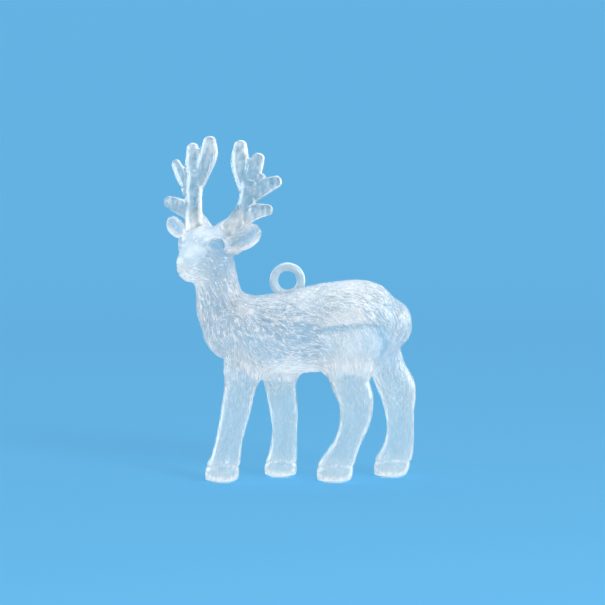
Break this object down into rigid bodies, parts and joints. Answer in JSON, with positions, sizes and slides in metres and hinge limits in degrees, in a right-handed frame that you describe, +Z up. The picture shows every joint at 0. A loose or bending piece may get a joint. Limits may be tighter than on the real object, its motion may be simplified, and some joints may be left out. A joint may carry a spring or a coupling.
{
  "type": "stag ornament",
  "caption": "Frosted, ice-clear moulded plastic stag with branching antlers and fur texture; stands on flat hooves or hangs by a ring on its back.",
  "frame": {"origin": "middle of the object's box, on the plane that its four hooves stand on", "axes": "+Z up, the nose points to -X, the turned head looks towards -Y; left and right are the stag's own, so -Y is its left side"},
  "size_m": [0.0804, 0.0294, 0.1088],
  "materials": {
    "frosted_plastic": "frosted, fur-textured, satin",
    "clear_plastic": "clear to milky, glossy",
    "ring_plastic": "smooth, satin"
  },
  "bodies": {
    "root": {"body_shell_left": "frosted_plastic", "body_shell_right": "frosted_plastic", "leg_front_left": "clear_plastic", "leg_front_right": "clear_plastic", "leg_rear_left": "clear_plastic", "leg_rear_right": "clear_plastic", "antler_left": "clear_plastic", "antler_right": "clear_plastic", "hanging_ring": "ring_plastic"}
  },
  "joints": []
}
